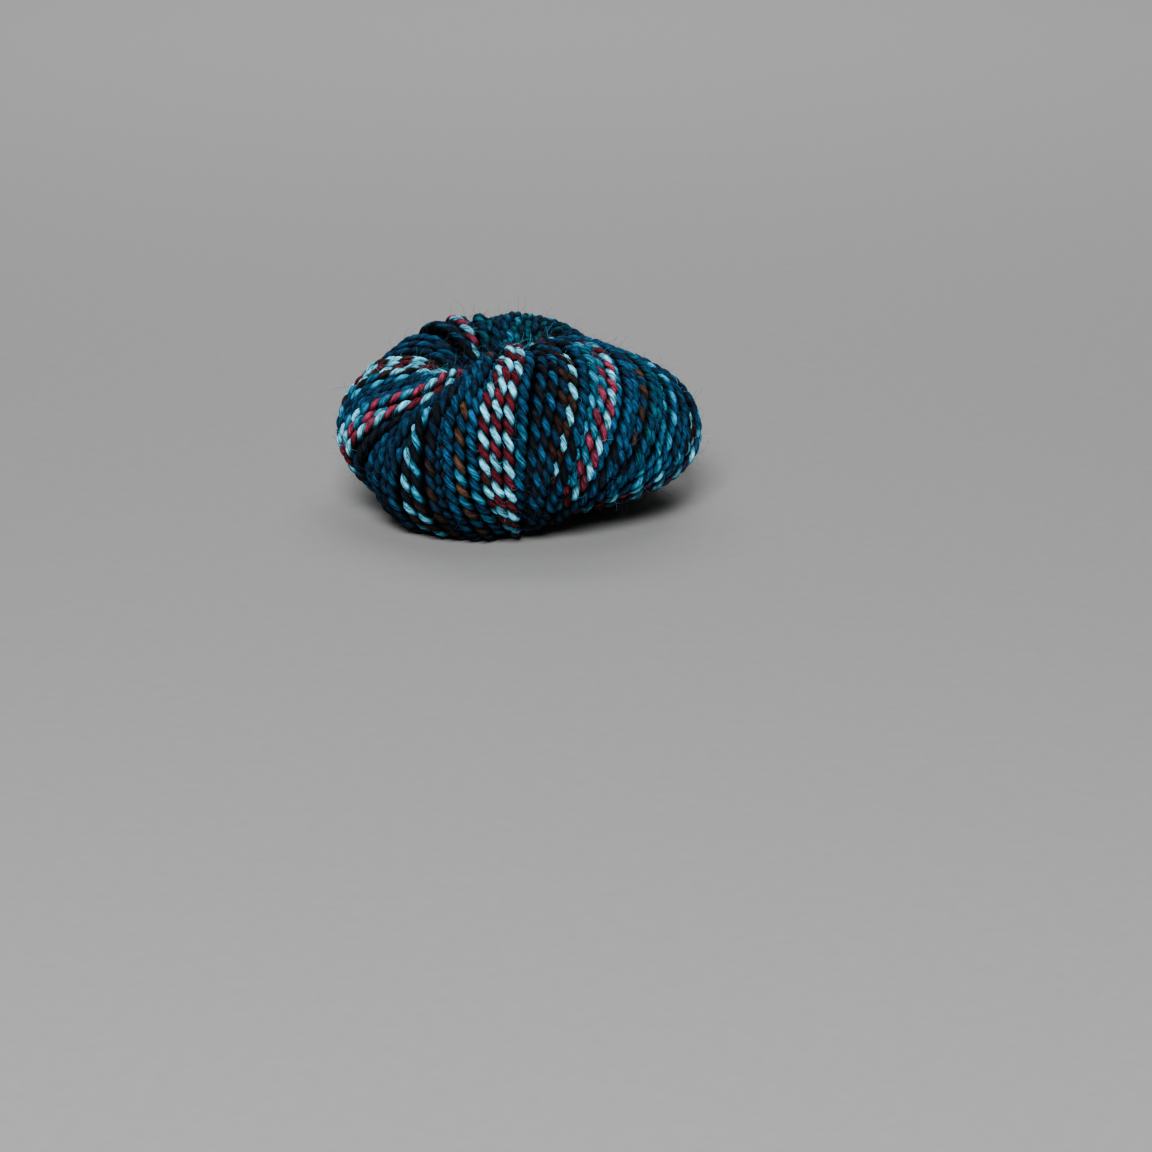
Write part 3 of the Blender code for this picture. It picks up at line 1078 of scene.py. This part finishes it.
class YARNCAKE_OT_turns(bpy.types.Operator):
    """Lays the turns of plied yarn over the wound form"""

    bl_idname = "yarn_cake.turns"
    bl_label = "Lay the turns"

    def execute(self, context):
        sizes = context.scene.yarn_cake_turns
        chosen = context.scene.yarn_cake_dyes
        azimuths, centre, outwards, depth = lay_turns(sizes.spacing, sizes.thickness, sizes.seed)
        rng = np.random.default_rng(sizes.seed + 1)
        share = np.linspace(0.0, 1.0, TURN_SAMPLES)
        dyes = {name: np.array(getattr(chosen, name)) for name in DYE_CODES}
        colours = dye_runs(azimuths, share, rng, dyes)
        lines = []
        for k in range(len(azimuths)):
            shown = np.nonzero(depth[k] < sizes.thickness * HIDDEN_SHARE)[0]
            part = slice(shown[0], shown[-1] + 1)
            lines.append(guide_line(
                centre[k, part], outwards[k, part], colours[0, k, part], colours[1, k, part],
                rng.random(),
            ))
        quarter = int(math.ceil(len(lines) / len(TURN_PARTS)))
        groups = {
            part: lines[i * quarter:(i + 1) * quarter] for i, part in enumerate(TURN_PARTS)
        }
        groups["under"] = []
        for points, facing in zip(*lay_under_turns(sizes.thickness)):
            # Only dark dyes here: painted shade in the grooves between bundles
            first, second = (
                np.tile(dyes[name], (len(points), 1)) for name in rng.choice(UNDER_SHADE_DYES, 2)
            )
            groups["under"].append(guide_line(points, facing, first, second, rng.random()))
        tree = plied_yarn_tree(plied_wool_material())
        for part, group in groups.items():
            settle(grown_mesh("turns_" + part, guide_mesh("guide_" + part, group), tree, {
                "Twist length": sizes.twist_length,
                "Ply offset": sizes.ply_offset,
                "Ply radius": sizes.ply_radius,
                "Step": sizes.step,
            }))
        return {"FINISHED"}


class YARNCAKE_OT_fuzz(bpy.types.Operator):
    """Plants loose fibres on the turns"""

    bl_idname = "yarn_cake.fuzz"
    bl_label = "Plant the fuzz"

    def execute(self, context):
        sizes = context.scene.yarn_cake_fuzz
        tree = fuzz_tree(loose_wool_material())
        for i, part in enumerate(TURN_PARTS):
            turns = bpy.data.objects["turns_" + part]
            settle(grown_mesh("fuzz_" + part, linked("fuzz_base", turns.data), tree, {
                "Density": sizes.density,
                "Length": sizes.length,
                "Radius": sizes.radius,
                "Hole": (HOLE_SHIFT - CENTRE[0], -CENTRE[1], HOLE_HEIGHT),
                "Seed": FUZZ_SEED + i,
            }))
        return {"FINISHED"}


class YARNCAKE_OT_core(bpy.types.Operator):
    """Makes the layer of turns that lies under the ones that show, painted near black as shade"""

    bl_idname = "yarn_cake.core"
    bl_label = "Make the core"

    def execute(self, context):
        lanes = np.linspace(0.0, 360.0, CORE_LANES + 1)[:-1]
        turn = np.linspace(np.pi, -np.pi, CORE_ROWS + 1)[:-1]
        place, lifted = lane_places(lanes, turn)
        inset = CORE_INSET - (CORE_INSET - THROAT_INSET) * throat_share(turn)
        points = skin_points(place, turn[None, :], lifted - inset[None, :], CORE_FLOOR) - CENTRE
        faces = []
        for i in range(CORE_LANES):
            here = i * CORE_ROWS
            after = (i + 1) % CORE_LANES * CORE_ROWS
            for row in range(CORE_ROWS):
                below = (row + 1) % CORE_ROWS
                faces.append((here + row, here + below, after + below, after + row))
        finish = plain_material("packed_wool_in_shade", hex_to_linear(CORE_SHADE_CODE), 1.0, 0.0)
        settle(smooth_object("wound_core", points.reshape(-1, 3).tolist(), faces, finish))
        return {"FINISHED"}


# Stage, in metres: the floor's near edge, where it starts to curve up, how
# tightly, how high the backdrop goes and how wide both are
FLOOR_FRONT = -3.0
FLOOR_BACK = 1.1
SWEEP_RADIUS = 0.8
SWEEP_STEPS = 12
BACKDROP_TOP = 3.0
FLOOR_SIDE = 4.0

# Square lights: name, place, direction back from what they light, size, and
# power as a share of the light strength
LIGHTS = (
    ("key_light", (-0.1, -1.0, 0.75), (-0.1, -1.0, 0.75), 0.4, 1.3),
    ("top_light", (0.3, 0.1, 1.2), (0.3, 0.1, 1.2), 0.6, 0.12),
    ("backdrop_light", (0.0, 0.9, 1.2), (0.0, -0.6, 0.8), 1.2, 1.3),
)
ROOM_LIGHT = 0.06

# Where the photograph shows the cake: mm on the cake for one of its pixels,
# and the pixel of the point the camera is set by
PHOTO_WIDTH = 1152
MM_PER_PIXEL = 0.2446
AIM_HEIGHT = 19.8 * MM
AIM_PIXEL = (519.0, 428.0)
SENSOR_WIDTH = 36.0


def floor_sweep(colour):
    """A floor that curves up into a backdrop far behind."""
    profile = [(FLOOR_FRONT, 0.0), (FLOOR_BACK, 0.0)]
    for i in range(1, SWEEP_STEPS + 1):
        angle = 0.5 * math.pi * i / SWEEP_STEPS
        back = FLOOR_BACK + SWEEP_RADIUS * math.sin(angle)
        profile.append((back, SWEEP_RADIUS - SWEEP_RADIUS * math.cos(angle)))
    profile.append((FLOOR_BACK + SWEEP_RADIUS, BACKDROP_TOP))
    vertices = [(x, y, z) for y, z in profile for x in (-FLOOR_SIDE, FLOOR_SIDE)]
    faces = [(2 * i, 2 * i + 1, 2 * i + 3, 2 * i + 2) for i in range(len(profile) - 1)]
    return smooth_object("floor", vertices, faces, plain_material("seamless_paper", colour, 0.9))


def soft_light(name, place, facing, size, power):
    """A large square light."""
    data = bpy.data.lights.new(name, "AREA")
    data.shape = "SQUARE"
    data.size = size
    data.energy = power
    light = linked(name, data)
    light.location = place
    light.rotation_mode = "QUATERNION"
    light.rotation_quaternion = Vector(facing).to_track_quat("Z", "Y")
    return light


def place_camera(distance, angle):
    """A long lens at the photograph's angle and framing."""
    ahead = Vector((0.0, math.cos(angle), -math.sin(angle)))
    up = Vector((0.0, math.sin(angle), math.cos(angle)))
    aim = Vector((0.0, 0.0, AIM_HEIGHT))
    eye = aim - ahead * distance
    half = PHOTO_WIDTH / 2.0
    right = (half - AIM_PIXEL[0]) * MM_PER_PIXEL * MM
    down = (half - AIM_PIXEL[1]) * MM_PER_PIXEL * MM
    target = aim + Vector((right, 0.0, 0.0)) - up * down
    data = bpy.data.cameras.new("camera")
    data.sensor_width = SENSOR_WIDTH
    data.lens = SENSOR_WIDTH * distance / (PHOTO_WIDTH * MM_PER_PIXEL * MM)
    data.clip_start = 0.05
    data.clip_end = 20.0
    camera = linked("camera", data)
    camera.location = eye
    camera.rotation_mode = "QUATERNION"
    camera.rotation_quaternion = (target - eye).to_track_quat("-Z", "Y")
    bpy.context.scene.camera = camera


class YARNCAKE_OT_stage(bpy.types.Operator):
    """Sets the pale floor, the soft lights and the camera"""

    bl_idname = "yarn_cake.stage"
    bl_label = "Set the stage"

    def execute(self, context):
        sizes = context.scene.yarn_cake_stage
        floor = floor_sweep(sizes.floor_colour)
        key, side, back = (
            soft_light(name, place, facing, size, sizes.light_strength * share)
            for name, place, facing, size, share in LIGHTS
        )
        world = bpy.data.worlds.new("soft_room")
        world.use_nodes = True
        room = world.node_tree.nodes["Background"].inputs
        room["Color"].default_value = (1.0, 1.0, 1.0, 1.0)
        room["Strength"].default_value = ROOM_LIGHT
        context.scene.world = world
        place_camera(sizes.view_distance, sizes.view_angle)
        return {"FINISHED"}


# Panel and registration


class YARNCAKE_PT_panel(bpy.types.Panel):
    bl_label = "Yarn Cake"
    bl_space_type = "VIEW_3D"
    bl_region_type = "UI"
    bl_category = "Yarn Cake"

    def draw(self, context):
        for name, group in GROUPS.items():
            for key in group.__annotations__:
                self.layout.prop(getattr(context.scene, name), key)
        for operator in OPERATORS:
            self.layout.operator(operator.bl_idname)


GROUPS = {
    "yarn_cake_turns": YarnCakeTurns,
    "yarn_cake_dyes": YarnCakeDyes,
    "yarn_cake_fuzz": YarnCakeFuzz,
    "yarn_cake_stage": YarnCakeStage,
}
OPERATORS = (YARNCAKE_OT_turns, YARNCAKE_OT_fuzz, YARNCAKE_OT_core, YARNCAKE_OT_stage)
CLASSES = (*GROUPS.values(), *OPERATORS, YARNCAKE_PT_panel)


def register():
    for item in CLASSES:
        bpy.utils.register_class(item)
    for name, group in GROUPS.items():
        setattr(bpy.types.Scene, name, bpy.props.PointerProperty(type=group))


def unregister():
    for name in reversed(GROUPS):
        delattr(bpy.types.Scene, name)
    for item in reversed(CLASSES):
        bpy.utils.unregister_class(item)


def main():
    register()
    bpy.ops.yarn_cake.turns()
    bpy.ops.yarn_cake.fuzz()
    bpy.ops.yarn_cake.core()
    bpy.ops.yarn_cake.stage()


if __name__ == "__main__":
    main()
